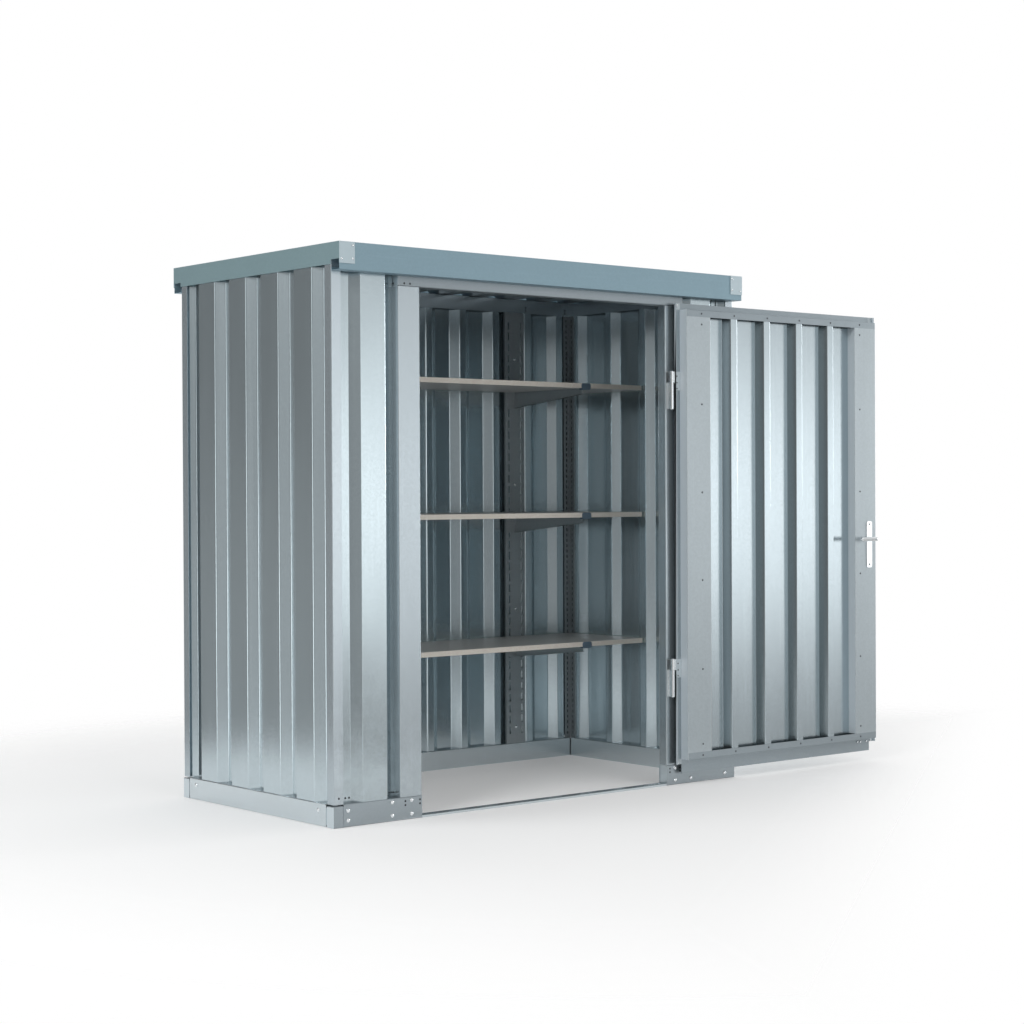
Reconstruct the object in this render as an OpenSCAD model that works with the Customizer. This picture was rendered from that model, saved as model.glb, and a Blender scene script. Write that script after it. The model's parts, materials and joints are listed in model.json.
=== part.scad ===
// Small steel site storage container: ribbed sheet walls on a rail base, a flat ribbed roof
// behind a trim frame, one hinged door that folds right back, and three shelves inside.
// Millimetres. The origin is under the middle of the sill, on the ground; the door is in the
// front, which faces -Y, and Z is up. The door is drawn folded fully open.

/* [Overall size] */
// Width over the base rails
width = 2100; // [1700:10:3000]
// Depth over the base rails
depth = 1070; // [850:10:1600]
// Height from the ground to the top of the roof trim
height = 2155; // [2100:5:2700]

/* [Base] */
// Width of a base rail, across its length
rail_w = 45; // [40:1:70]
// Height of a base rail
rail_h = 85; // [70:1:120]
// Height of a corner foot, a little under the rails
foot_h = 80; // [60:1:85]
// Gap between a side rail and its corner foot
foot_gap = 5; // [0:0.5:8]
// Length of the tongue by which a foot holds a rail
tongue_l = 62; // [30:1:90]
// Height of the flat sill across the doorway
sill_h = 8; // [5:1:20]

/* [Sheet metal] */
// Thickness of frame parts: rails, posts, trim
frame_t = 2; // [1.5:0.5:3]
// Thickness of the ribbed sheets
sheet_t = 1; // [0.6:0.1:1.5]
// Inset of the corner posts behind the base faces
post_inset = 3; // [2:0.5:6]
// Width of each leg of a corner post
post_leg = 42; // [30:1:60]
// Gap between two wall sheets inside a corner post
corner_gap = 2; // [1:0.5:4]
// Depth to which the plate that closes a tube's end is let in
end_plate_in = 3; // [1:0.5:8]

/* [Wall ribs] */
// Depth of a wall rib
rib_depth = 30; // [20:1:38]
// Width of a wall rib where it leaves the outer face
rib_mouth = 108; // [70:1:120]
// Width of the flat bottom of a wall rib
rib_floor = 36; // [25:1:60]
// Rib spacing on the side walls
side_pitch = 228; // [150:1:300]
// Rib spacing on the front panels
front_pitch = 220; // [150:1:300]
// First rib of a front panel, from the corner
front_rib_first = 82; // [76:1:100]
// Rib spacing on the back wall
back_pitch = 191; // [150:1:300]

/* [Doorway] */
// Clear width of the doorway
opening_w = 1286; // [700:1:1340]
// Height of the lintel's underside above the ground
opening_top = 2013; // [1900:1:2030]
// Width of a door post
door_post_w = 103; // [60:1:120]

/* [Roof] */
// Depth of a roof rib, sheet included
roof_rib = 35; // [20:1:40]
// Spacing of the roof ribs
roof_pitch = 190; // [150:1:300]
// Clearance between the roof sheet and the side trim
roof_gap = 2; // [1:0.5:5]
// Overhang of the roof sheet at the front and back
roof_over = 22; // [10:1:30]
// Leg height of the top rails that carry the roof
top_rail_h = 63; // [40:1:80]
// Height of the front and back trim
trim_h = 104; // [90:1:130]
// Distance by which the front and back trim stand out
trim_out = 52; // [40:1:80]
// Width of the top flange of the front and back trim
trim_flange = 15; // [10:1:25]
// Height of the side trim
side_trim_h = 80; // [60:1:90]
// Length of the returns of the side trim, round the corners
trim_return = 70; // [40:1:120]
// Width of the top flange of the side trim
side_trim_flange = 40; // [20:1:60]

/* [Shelves] */
// Top of the lowest shelf above the ground
shelf_first = 575; // [400:1:650]
// Height from one shelf to the next
shelf_pitch = 568; // [350:1:600]
// Thickness of a shelf board
shelf_t = 21; // [16:1:30]
// Depth of a shelf board
shelf_depth = 487; // [250:1:600]
// Gap between a shelf's end and the wall ribs
shelf_side_gap = 6; // [2:1:20]
// Distance of a shelf upright from the middle of the container
upright_x = 673; // [400:1:700]
// Width of a shelf upright
upright_w = 110; // [80:1:140]
// Depth of a shelf upright
upright_d = 12; // [8:1:20]
// Distance of each slot column from the upright's middle
slot_x = 35.5; // [20:0.5:40]
// Height of a slot
slot_h = 35; // [15:1:40]
// Width of a slot
slot_w = 7; // [4:0.5:10]
// Spacing of the slots up the upright
slot_pitch = 50; // [45:1:100]
// Height of a shelf bracket at the wall
bracket_h = 72; // [50:1:120]
// Height of a shelf bracket at its nose
bracket_nose_h = 25; // [15:1:40]
// Width of a bracket's flanges
bracket_flange_w = 16; // [10:1:30]
// Width of a bracket's hook plate
bracket_plate_w = 90; // [60:1:110]
// Width of the end cap on a bracket
cap_w = 50; // [30:1:70]
// Leg width of the slotted angles in the back corners
strip_leg = 35; // [25:1:50]
// Width of a slot in those angles
strip_slot_w = 6; // [4:0.5:10]
// Height of a slot in those angles
strip_slot_h = 14; // [8:1:20]
// Spacing of the slots in those angles
strip_slot_pitch = 25; // [22:1:60]

/* [Door leaf] */
// Gap between the leaf and the doorway on the hinge side
leaf_gap_hinge = 12; // [6:1:20]
// Gap between the leaf and the doorway on the lock side
leaf_gap_lock = 18; // [6:1:30]
// Thickness of the leaf
leaf_t = 44; // [35:1:50]
// Lowest edge of the leaf above the ground
leaf_bottom = 47; // [30:1:70]
// Lap of the leaf's top edge over the lintel
leaf_top_lap = 11; // [5:1:25]
// Width of the rim around the inner pan of the leaf
rim_w = 29; // [20:1:45]
// Depth of the lip folded on the rim's edge
lip_d = 12; // [6:1:20]
// Lower end of the side rims above the ground
rim_bottom = 87; // [75:1:110]
// Lower edge of the inner pan above the ground
pan_bottom = 107; // [90:1:140]
// Gap between the top of the inner pan and the lintel's underside
pan_top_gap = 16; // [8:1:40]
// Face width of a stile
stile_w = 141; // [80:1:160]
// Face height of the pan's top and bottom rails
pan_rail_h = 29; // [20:1:50]
// First rib of the leaf, from its hinge edge
leaf_rib_first = 314; // [230:1:330]
// Rib spacing of the leaf
leaf_pitch = 204; // [120:1:260]
// Width of a leaf rib at the outer face
leaf_rib_mouth = 70; // [50:1:90]
// Width of the flat inner top of a leaf rib
leaf_rib_floor = 36; // [20:1:45]

/* [Hinges and handle] */
// Distance of the hinge axis outside the doorway
hinge_out = 12; // [8:1:20]
// Distance of the hinge axis in front of the posts
hinge_stand = 27; // [24:0.5:35]
// Distance from the hinge axis to the leaf's outer face
hinge_to_skin = 8; // [6:0.5:10]
// Bottom of the lower hinge above the ground
hinge_low = 375; // [200:1:600]
// Bottom of the upper hinge above the ground
hinge_high = 1580; // [1200:1:1750]
// Height of the hinge half on the post
hinge_post_h = 110; // [80:1:140]
// Height of the knuckle of the hinge half on the leaf
hinge_leaf_h = 46; // [30:1:70]
// Height of the plate of the hinge half on the leaf
hinge_plate_h = 78; // [50:1:100]
// Radius of a hinge knuckle
knuckle_r = 8; // [7.5:0.5:10]
// Radius of a hinge pin
pin_r = 5; // [3:0.5:6]
// Radial clearance of the hinge pin
pin_clear = 0.08; // [0.05:0.01:0.1]
// Gap between the two halves of a hinge
hinge_gap = 0.3; // [0.2:0.1:1]
// Height of the handle's spindle above the ground
handle_z = 1015; // [900:1:1100]
// Distance of the spindle from the leaf's lock edge
backset = 75; // [60:1:90]
// Width of a lock plate
plate_w = 36; // [30:1:50]
// Height of a lock plate
plate_h = 210; // [150:1:260]
// Height of a lock plate's lower end above the ground
plate_bottom = 885; // [780:1:900]
// Thickness of a lock plate
plate_t = 3; // [2:0.5:5]
// Distance of the lever in front of its plate
lever_out = 50; // [40:1:70]
// Length of the lever from the spindle
lever_l = 115; // [80:1:150]
// Radius of the lever and its neck
lever_r = 9.5; // [6:0.5:11]
// Radius of the bend between neck and lever
lever_bend = 18; // [13:1:25]
// Side of the square spindle
spindle_w = 8; // [6:1:10]

/* [Hidden] */

$fn = 48;
cut = 1;                                    // overshoot of a cutting shape
half_w = width / 2;
front_y = -rail_w / 2;
back_y = front_y + depth;
mid_y = (front_y + back_y) / 2;

sheet_inset = post_inset + frame_t;         // base face to the outer plane of a wall sheet
wall_in = sheet_inset + rib_depth + sheet_t; // base face to the inner plane of a wall
flange_end = 15;                            // least flat flange at the end of a sheet
wall_end = sheet_inset + sheet_t + corner_gap;

roof_z = height - frame_t - roof_rib;       // underside of the roof sheet
wall_top = roof_z - frame_t;                // top of the wall sheets, posts and lintel
rail_leg_z = roof_z - top_rail_h;           // lower edge of the top rails
rail_front_d = rail_w + frame_t;            // inner face of the front top rail
rail_side_d = wall_in + frame_t;            // inner face of the other top rails
trim_z = height - trim_h;
notch_h = 16;                               // step in the side trim over the front trim's end
trim_lip = 12;                              // lip on the back edge of the front trim

panel_w = half_w - opening_w / 2 - door_post_w;
upright_face = back_y - wall_in - upright_d;
shelf_back = upright_face - frame_t;
shelf_front = shelf_back - shelf_depth;
shelf_tops = [for (i = [0:2]) shelf_first + i * shelf_pitch];
bracket_nose = shelf_front + 25;            // front end of a bracket
bracket_web_t = 3;

hinge_x = opening_w / 2 + hinge_out;
hinge_y = front_y - hinge_stand;
leaf_w = opening_w - leaf_gap_hinge - leaf_gap_lock;
leaf_x0 = hinge_out + leaf_gap_hinge;       // leaf edges, from the hinge axis
leaf_x1 = leaf_x0 + leaf_w;
leaf_top = opening_top + leaf_top_lap;
pan_x0 = leaf_x0 + rim_w;
pan_x1 = leaf_x1 - rim_w;
pan_top = opening_top - pan_top_gap;
skin_y = hinge_to_skin;                     // outer face of the open leaf, towards the wall
pan_y = skin_y - leaf_t;                    // inner face of the open leaf, towards the front
spindle_x = leaf_x1 - backset;
hinge_lows = [hinge_low, hinge_high];
knuckle_nose = 2.5;                         // chamfered end of a hinge
hinge_leaf_z = hinge_post_h + hinge_gap;    // underside of the leaf's knuckle, in the hinge
hinge_plate_z = hinge_leaf_z + hinge_leaf_h - hinge_plate_h;

steel = "LightSteelBlue";
bright_steel = "Gainsboro";
board = "BurlyWood";
dark = "DimGray";

// ---------- shapes used by several pieces ----------

// A section drawn in y and z, drawn out along +X
module along_x(length) { rotate([90, 0, 90]) linear_extrude(length) children(); }

// A section drawn in x and z, drawn out along +Y
module along_y(length) { translate([0, length, 0]) rotate([90, 0, 0]) linear_extrude(length) children(); }

// The same piece on the right-hand side, or at the back
module on_right() { mirror([1, 0, 0]) children(); }
module at_back() { translate([0, 2 * mid_y, 0]) mirror([0, 1, 0]) children(); }

// A rectangular tube section with one corner at the origin
module tube_section(w, h) {
    difference() {
        square([w, h]);
        translate([frame_t, frame_t]) square([w - 2 * frame_t, h - 2 * frame_t]);
    }
}

function reversed(v) = [for (i = [len(v) - 1:-1:0]) v[i]];

// The four corners of each rib, going down from level y0 by d
function rib_points(centres, mouth, floor_w, y0, d) = [
    for (c = centres)
        for (p = [[-mouth / 2, y0], [-floor_w / 2, y0 + d], [floor_w / 2, y0 + d], [mouth / 2, y0]])
            [c + p[0], p[1]]
];

// Ribbed sheet of even thickness in plan; ribs go towards +Y by d, measured over the sheet
module ribbed_section(x0, x1, centres, mouth, floor_w, d) {
    rise = d - sheet_t;
    slope = atan2(rise, (mouth - floor_w) / 2);
    spread = 2 * sheet_t * tan(slope / 2);
    polygon(concat(
        [[x0, 0]],
        rib_points(centres, mouth, floor_w, 0, rise),
        [[x1, 0], [x1, sheet_t]],
        reversed(rib_points(centres, mouth + spread, floor_w + spread, sheet_t, rise)),
        [[x0, sheet_t]]
    ));
}

// Rib places on both sides of a middle rib, as far as the flat end flanges allow
function rib_row(length, pitch) =
    let (n = floor((length / 2 - wall_end - flange_end - rib_mouth / 2) / pitch))
    [for (i = [-n:n]) i * pitch];

// ---------- base ----------

module side_base_rail() {
    start = rail_w + foot_gap;
    translate([-half_w, front_y + start, 0])
        along_y(depth - 2 * start) tube_section(rail_w, rail_h);
}
module base_rail_left() { color(steel) side_base_rail(); }
module base_rail_right() { color(steel) on_right() side_base_rail(); }

module base_rail_back() {
    color(steel) translate([-half_w + rail_w, back_y - rail_w, 0])
        along_x(width - 2 * rail_w) tube_section(rail_w, rail_h);
}

// Short front rail from a corner foot to the doorway, closed at the doorway
module front_base_rail() {
    length = half_w - rail_w - opening_w / 2;
    translate([-half_w + rail_w, front_y, 0]) {
        along_x(length) tube_section(rail_w, rail_h);
        translate([length - end_plate_in - frame_t, 0, 0]) cube([frame_t, rail_w, rail_h]);
    }
}
module base_rail_front_left() { color(steel) front_base_rail(); }
module base_rail_front_right() { color(steel) on_right() front_base_rail(); }

// Hollow foot at the front left corner, with a tongue into each of its two rails
module corner_foot() {
    tongue_z = 8;
    tongue_h = foot_h - 2 * tongue_z;
    translate([-half_w, front_y, 0]) {
        difference() {
            cube([rail_w, rail_w, foot_h]);
            translate([frame_t, frame_t, -cut])
                cube([rail_w - 2 * frame_t, rail_w - 2 * frame_t, foot_h - frame_t + cut]);
        }
        translate([frame_t, rail_w - frame_t, tongue_z])
            cube([frame_t, frame_t + foot_gap + tongue_l, tongue_h]);
        translate([rail_w - frame_t, frame_t, tongue_z])
            cube([frame_t + tongue_l, frame_t, tongue_h]);
    }
}
module corner_feet_front() { color(steel) { corner_foot(); on_right() corner_foot(); } }
module corner_feet_back() { color(steel) at_back() { corner_foot(); on_right() corner_foot(); } }

module sill() {
    color(steel) translate([-opening_w / 2, front_y, 0]) cube([opening_w, rail_w, sill_h]);
}

// ---------- posts and lintel ----------

module corner_post() {
    translate([-half_w + post_inset, front_y + post_inset, rail_h])
        linear_extrude(wall_top - rail_h) {
            square([post_leg, frame_t]);
            square([frame_t, post_leg]);
        }
}
module corner_post_front_left() { color(steel) corner_post(); }
module corner_post_front_right() { color(steel) on_right() corner_post(); }
module corner_post_back_left() { color(steel) at_back() corner_post(); }
module corner_post_back_right() { color(steel) at_back() on_right() corner_post(); }

module door_post() {
    translate([-opening_w / 2 - door_post_w, front_y, rail_h])
        linear_extrude(opening_top - rail_h) tube_section(door_post_w, rail_w);
}
module door_post_left() { color(steel) door_post(); }
module door_post_right() { color(steel) on_right() door_post(); }

// Tube over the doorway and both posts, closed at its ends
module lintel() {
    length = opening_w + 2 * door_post_w;
    lintel_h = wall_top - opening_top;
    color(steel) translate([-length / 2, front_y, opening_top]) {
        along_x(length) tube_section(rail_w, lintel_h);
        for (x = [end_plate_in, length - end_plate_in - frame_t])
            translate([x, 0, 0]) cube([frame_t, rail_w, lintel_h]);
    }
}

// ---------- walls ----------

module wall_height() { translate([0, 0, rail_h]) linear_extrude(wall_top - rail_h) children(); }

module side_wall() {
    wall_height() translate([-half_w + sheet_inset, mid_y]) mirror([1, 0]) rotate(90)
        ribbed_section(-depth / 2 + wall_end, depth / 2 - wall_end,
            rib_row(depth, side_pitch), rib_mouth, rib_floor, rib_depth + sheet_t);
}
module wall_left() { color(steel) side_wall(); }
module wall_right() { color(steel) on_right() side_wall(); }

module wall_back() {
    color(steel) wall_height() translate([0, back_y - sheet_inset]) mirror([0, 1])
        ribbed_section(-half_w + wall_end, half_w - wall_end,
            rib_row(width, back_pitch), rib_mouth, rib_floor, rib_depth + sheet_t);
}

// Panel from a corner post to a door post, where it may end in the middle of a rib
module front_wall() {
    n = ceil((panel_w - front_rib_first) / front_pitch);
    wall_height() translate([-half_w, front_y + sheet_inset]) intersection() {
        ribbed_section(wall_end, front_rib_first + (n + 0.5) * front_pitch,
            [for (i = [0:n]) front_rib_first + i * front_pitch], rib_mouth, rib_floor,
            rib_depth + sheet_t);
        square([panel_w, rail_w]);
    }
}
module wall_front_left() { color(steel) front_wall(); }
module wall_front_right() { color(steel) on_right() front_wall(); }

// ---------- roof ----------

// Angle section in plan depth and height: flange outwards over the wall, leg inside it
module top_rail_section(d) {
    translate([post_inset, wall_top]) square([d - post_inset, frame_t]);
    translate([d - frame_t, rail_leg_z]) square([frame_t, top_rail_h]);
}

module side_top_rail() {
    translate([-half_w, front_y + rail_front_d, 0])
        along_y(depth - rail_front_d - rail_side_d) top_rail_section(rail_side_d);
}
module top_rail_left() { color(steel) side_top_rail(); }
module top_rail_right() { color(steel) on_right() side_top_rail(); }

// Front or back top rail: the leg stops short of the side walls
module cross_top_rail(d) {
    leg_l = width - 2 * wall_in;
    translate([-half_w + post_inset, front_y, 0]) along_x(width - 2 * post_inset)
        translate([post_inset, wall_top]) square([d - post_inset, frame_t]);
    translate([-leg_l / 2, front_y, 0]) along_x(leg_l)
        translate([d - frame_t, rail_leg_z]) square([frame_t, top_rail_h]);
}
module top_rail_front() { color(steel) cross_top_rail(rail_front_d); }
module top_rail_back() { color(steel) at_back() cross_top_rail(rail_side_d); }

module roof_sheet() {
    side = frame_t + roof_gap;
    reach = half_w - side - flange_end - rib_mouth / 2;
    n = floor(reach / roof_pitch);
    color(steel) translate([0, front_y - roof_over, roof_z]) along_y(depth + 2 * roof_over)
        ribbed_section(-half_w + side, half_w - side,
            [for (i = [-n:n]) i * roof_pitch], rib_mouth, rib_floor, roof_rib);
}

// Gutter along the front: web, narrow top flange, and a bottom with a lip against the lintel;
// its ends are open
module front_trim() {
    translate([-half_w + frame_t, front_y - trim_out, trim_z])
        along_x(width - 2 * frame_t) {
            square([frame_t, trim_h]);
            square([trim_out, frame_t]);
            translate([0, trim_h - frame_t]) square([trim_flange, frame_t]);
            translate([trim_out - frame_t, 0]) square([frame_t, trim_lip]);
        }
}
module roof_trim_front() { color(steel) front_trim(); }
module roof_trim_back() { color(steel) at_back() front_trim(); }

// Side trim, lapped round both corners, with a step over the open ends of the front trim
module side_trim() {
    z0 = height - side_trim_h;
    y0 = front_y - trim_out - frame_t;
    length = depth + 2 * (trim_out + frame_t);
    step_d = trim_out + frame_t;
    difference() {
        translate([-half_w, y0, z0]) cube([frame_t, length, side_trim_h]);
        for (y = [y0 + frame_t, y0 + length - step_d])
            translate([-half_w - cut, y, z0 - cut])
                cube([frame_t + 2 * cut, step_d - frame_t, notch_h + cut]);
    }
    for (y = [y0, y0 + length - frame_t])
        translate([-half_w, y, z0]) cube([trim_return, frame_t, side_trim_h]);
    translate([-half_w, front_y, height - frame_t]) cube([side_trim_flange, depth, frame_t]);
}
module roof_trim_left() { color(steel) side_trim(); }
module roof_trim_right() { color(steel) on_right() side_trim(); }

// ---------- shelves ----------

// Slotted angle in the back left corner, on the ribs of both walls
module corner_strip() {
    length = rail_leg_z - rail_h;
    slots = floor((length - strip_slot_h) / strip_slot_pitch);
    first = (length - (slots - 1) * strip_slot_pitch - strip_slot_h) / 2;
    slot_at = (strip_leg + frame_t - strip_slot_w) / 2;
    translate([-half_w + wall_in, back_y - wall_in, rail_h]) mirror([0, 1, 0]) difference() {
        linear_extrude(length) {
            square([strip_leg, frame_t]);
            square([frame_t, strip_leg]);
        }
        for (i = [0:slots - 1]) translate([0, 0, first + i * strip_slot_pitch]) {
            translate([slot_at, -cut, 0]) cube([strip_slot_w, frame_t + 2 * cut, strip_slot_h]);
            translate([-cut, slot_at, 0]) cube([frame_t + 2 * cut, strip_slot_w, strip_slot_h]);
        }
    }
}
module slotted_corner_strips() { color(steel) { corner_strip(); on_right() corner_strip(); } }

module shelf_upright() {
    length = rail_leg_z - rail_h;
    slots = floor((length - slot_h) / slot_pitch);
    first = (length - (slots - 1) * slot_pitch - slot_h) / 2;
    translate([-upright_x - upright_w / 2, upright_face, rail_h]) difference() {
        linear_extrude(length) {
            square([upright_w, frame_t]);
            square([frame_t, upright_d]);
            translate([upright_w - frame_t, 0]) square([frame_t, upright_d]);
        }
        for (i = [0:slots - 1], side = [-1, 1])
            translate([upright_w / 2 + side * slot_x - slot_w / 2, -cut, first + i * slot_pitch])
                cube([slot_w, frame_t + 2 * cut, slot_h]);
    }
}
module shelf_upright_left() { color(bright_steel) shelf_upright(); }
module shelf_upright_right() { color(bright_steel) on_right() shelf_upright(); }

module shelf(i) {
    length = width - 2 * (wall_in + shelf_side_gap);
    color(board) translate([-length / 2, shelf_front, shelf_tops[i] - shelf_t])
        cube([length, shelf_depth, shelf_t]);
}
module shelf_lower() { shelf(0); }
module shelf_middle() { shelf(1); }
module shelf_upper() { shelf(2); }

// Cantilever under a shelf: web, two flanges and the plate that hooks into the upright
module shelf_bracket() {
    web = [[bracket_nose, -bracket_nose_h], [shelf_back, -bracket_h], [shelf_back, 0], [bracket_nose, 0]];
    low = [
        [bracket_nose, -bracket_nose_h], [shelf_back, -bracket_h],
        [shelf_back, -bracket_h + frame_t], [bracket_nose, -bracket_nose_h + frame_t]
    ];
    translate([-bracket_web_t / 2, 0, 0]) along_x(bracket_web_t) polygon(web);
    translate([-bracket_flange_w / 2, 0, 0]) along_x(bracket_flange_w) {
        polygon(low);
        translate([bracket_nose, -frame_t]) square([shelf_back - bracket_nose, frame_t]);
    }
    translate([-bracket_plate_w / 2, shelf_back, -bracket_h])
        cube([bracket_plate_w, frame_t, bracket_h]);
}
module bracket_column() {
    for (top = shelf_tops) translate([-upright_x, 0, top - shelf_t]) shelf_bracket();
}
module shelf_brackets_left() { color(bright_steel) bracket_column(); }
module shelf_brackets_right() { color(bright_steel) on_right() bracket_column(); }

// Moulded cap on a bracket's nose, under the shelf and up over its front edge
module end_cap() {
    wall = 5;
    under = 7;
    h = shelf_t + under;
    r = 9;
    translate([0, shelf_front - wall, -h]) along_y(wall) {
        translate([r, 0]) square([cap_w - 2 * r, h]);
        translate([0, r]) square([cap_w, h - 2 * r]);
        for (x = [r, cap_w - r], z = [r, h - r]) translate([x, z]) circle(r = r);
    }
    translate([r, shelf_front, -h]) cube([cap_w - 2 * r, bracket_nose - shelf_front, under]);
}
module bracket_end_caps() {
    color(dark) for (top = shelf_tops, side = [-1, 1])
        translate([side * upright_x - cap_w / 2, 0, top]) end_cap();
}

// ---------- door leaf, from its hinge axis ----------

module in_doorway() { translate([hinge_x, hinge_y, 0]) children(); }

module spindle_hole(r) {
    translate([spindle_x, skin_y + leaf_t, handle_z]) rotate([90, 0, 0]) cylinder(r = r, h = 3 * leaf_t);
}

module door_sheet() {
    reach = leaf_w - leaf_rib_first - stile_w - rim_w;
    n = floor(reach / leaf_pitch);
    color(steel) in_doorway() difference() {
        translate([0, skin_y - frame_t, pan_bottom + frame_t])
            linear_extrude(pan_top - pan_bottom - 2 * frame_t) mirror([0, 1])
                ribbed_section(pan_x0 + frame_t, pan_x1 - frame_t,
                    [for (i = [0:n]) leaf_x0 + leaf_rib_first + i * leaf_pitch],
                    leaf_rib_mouth, leaf_rib_floor, leaf_t - 2 * frame_t);
        spindle_hole(lever_r + 2);
    }
}

// Stile drawn for the hinge side: lip, rim, pan side, pan face and its return to the sheet
module stile() {
    web_h = pan_top - pan_bottom;
    face_h = web_h - 2 * pan_rail_h;
    rim_h = leaf_top - rim_bottom;
    translate([leaf_x0, skin_y - lip_d, rim_bottom]) cube([frame_t, lip_d, rim_h]);
    translate([leaf_x0, skin_y - frame_t, rim_bottom]) cube([rim_w + frame_t, frame_t, rim_h]);
    translate([pan_x0, pan_y, pan_bottom]) cube([frame_t, leaf_t, web_h]);
    translate([pan_x0, pan_y, pan_bottom + pan_rail_h]) cube([stile_w, frame_t, face_h]);
    translate([pan_x0 + stile_w - frame_t, pan_y, pan_bottom + pan_rail_h])
        cube([frame_t, leaf_t - frame_t - sheet_t, face_h]);
}
module door_stile_hinge() {
    color(steel) in_doorway() difference() {
        stile();
        for (z = hinge_lows)
            translate([leaf_x0 - cut, skin_y - lip_d - cut, z + hinge_plate_z - cut])
                cube([frame_t + 2 * cut, lip_d - frame_t + cut, hinge_plate_h + 2 * cut]);
    }
}
module door_stile_lock() {
    color(steel) in_doorway() difference() {
        translate([leaf_x0 + leaf_x1, 0, 0]) on_right() stile();
        spindle_hole(lever_r + 2);
    }
}

// Pan rail across the leaf: face, pan edge and rim, all between the stiles' sides
module pan_rail(edge_z, rim_z, up) {
    x0 = pan_x0 + frame_t;
    length = pan_x1 - pan_x0 - 2 * frame_t;
    face_z = up ? edge_z - pan_rail_h : edge_z;
    web_z = up ? edge_z - frame_t : edge_z;
    translate([x0, pan_y, face_z]) cube([length, frame_t, pan_rail_h]);
    translate([x0, pan_y, web_z]) cube([length, leaf_t, frame_t]);
    translate([x0, skin_y - frame_t, min(rim_z, web_z)]) cube([length, frame_t, abs(rim_z - web_z)]);
}
module door_rail_top() { color(steel) in_doorway() pan_rail(pan_top, leaf_top, true); }
module door_rail_bottom() { color(steel) in_doorway() pan_rail(pan_bottom, leaf_bottom, false); }

// ---------- hinges and handle ----------

// Half on the door post: foot plate, web, knuckle and pin
module hinge_half_post() {
    foot_w = 40;
    foot_t = 3;
    web_t = 4;
    foot_x = 3 - hinge_out;
    translate([0, 0, -knuckle_nose])
        cylinder(r1 = knuckle_r - knuckle_nose, r2 = knuckle_r, h = knuckle_nose);
    cylinder(r = knuckle_r, h = hinge_post_h);
    cylinder(r = pin_r, h = hinge_post_h + hinge_leaf_h);
    translate([-web_t / 2, 0, 0]) cube([web_t, hinge_stand, hinge_post_h]);
    translate([foot_x, hinge_stand - foot_t, 0])
        cube([foot_w, foot_t, hinge_leaf_z + hinge_leaf_h]);
}
module hinge_halves_post() {
    color(bright_steel) in_doorway() for (z = hinge_lows) translate([0, 0, z]) hinge_half_post();
}

// Half on the leaf: knuckle with its bore, and the plate on the rim, which reaches down
// beside the other knuckle
module hinge_half_door() {
    plate_th = 4;
    plate_y = skin_y - frame_t - plate_th;
    difference() {
        union() {
            translate([0, 0, hinge_leaf_z]) cylinder(r = knuckle_r, h = hinge_leaf_h);
            translate([0, plate_y, hinge_leaf_z]) cube([leaf_x0, plate_th, hinge_leaf_h]);
            translate([leaf_x0, plate_y, hinge_plate_z]) cube([rim_w - 1, plate_th, hinge_plate_h]);
        }
        translate([0, 0, hinge_leaf_z - cut])
            cylinder(r = pin_r + pin_clear, h = hinge_leaf_h + 2 * cut);
    }
    translate([0, 0, hinge_leaf_z + hinge_leaf_h])
        cylinder(r1 = knuckle_r, r2 = knuckle_r - knuckle_nose, h = knuckle_nose);
}
module hinge_halves_door() {
    color(bright_steel) in_doorway() for (z = hinge_lows) translate([0, 0, z]) hinge_half_door();
}

// Plate on each face of the leaf; the neck of each lever turns in its plate
module lock_plates() {
    fit = 0.3;
    r = 9;
    color(bright_steel) in_doorway() difference() {
        for (y = [pan_y - plate_t, skin_y - frame_t])
            translate([spindle_x - plate_w / 2, y, plate_bottom]) along_y(plate_t) {
                translate([r, 0]) square([plate_w - 2 * r, plate_h]);
                translate([0, r]) square([plate_w, plate_h - 2 * r]);
                for (x = [r, plate_w - r], z = [r, plate_h - r]) translate([x, z]) circle(r = r);
            }
        spindle_hole(lever_r + fit);
    }
}

// Lever drawn out of its plate towards -Y and bent towards -X, from the spindle's middle
module lever(seat) {
    neck = lever_out - lever_bend;
    rotate([90, 0, 0]) {
        cylinder(r = lever_r, h = neck + seat);
        translate([-lever_bend, 0, neck + seat]) rotate([-90, 0, 0])
            rotate_extrude(angle = -90) translate([lever_bend, 0]) circle(r = lever_r);
        translate([-lever_bend, 0, lever_out + seat]) rotate([0, -90, 0]) {
            cylinder(r = lever_r, h = lever_l - lever_bend - lever_r);
            translate([0, 0, lever_l - lever_bend - lever_r]) sphere(r = lever_r);
        }
    }
}
module door_handle() {
    outer_y = skin_y - frame_t + plate_t;
    color(bright_steel) in_doorway() translate([spindle_x, 0, handle_z]) {
        translate([-spindle_w / 2, pan_y, -spindle_w / 2]) cube([spindle_w, outer_y - pan_y, spindle_w]);
        translate([0, pan_y, 0]) lever(plate_t);
        translate([0, outer_y - plate_t, 0]) mirror([0, 1, 0]) lever(plate_t);
    }
}

base_rail_left();
base_rail_right();
base_rail_back();
base_rail_front_left();
base_rail_front_right();
corner_feet_front();
corner_feet_back();
sill();
corner_post_front_left();
corner_post_front_right();
corner_post_back_left();
corner_post_back_right();
door_post_left();
door_post_right();
lintel();
wall_left();
wall_right();
wall_back();
wall_front_left();
wall_front_right();
top_rail_left();
top_rail_right();
top_rail_front();
top_rail_back();
roof_sheet();
roof_trim_front();
roof_trim_back();
roof_trim_left();
roof_trim_right();
slotted_corner_strips();
shelf_upright_left();
shelf_upright_right();
shelf_lower();
shelf_middle();
shelf_upper();
shelf_brackets_left();
shelf_brackets_right();
bracket_end_caps();
door_sheet();
door_stile_hinge();
door_stile_lock();
door_rail_top();
door_rail_bottom();
hinge_halves_post();
hinge_halves_door();
lock_plates();
door_handle();
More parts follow.
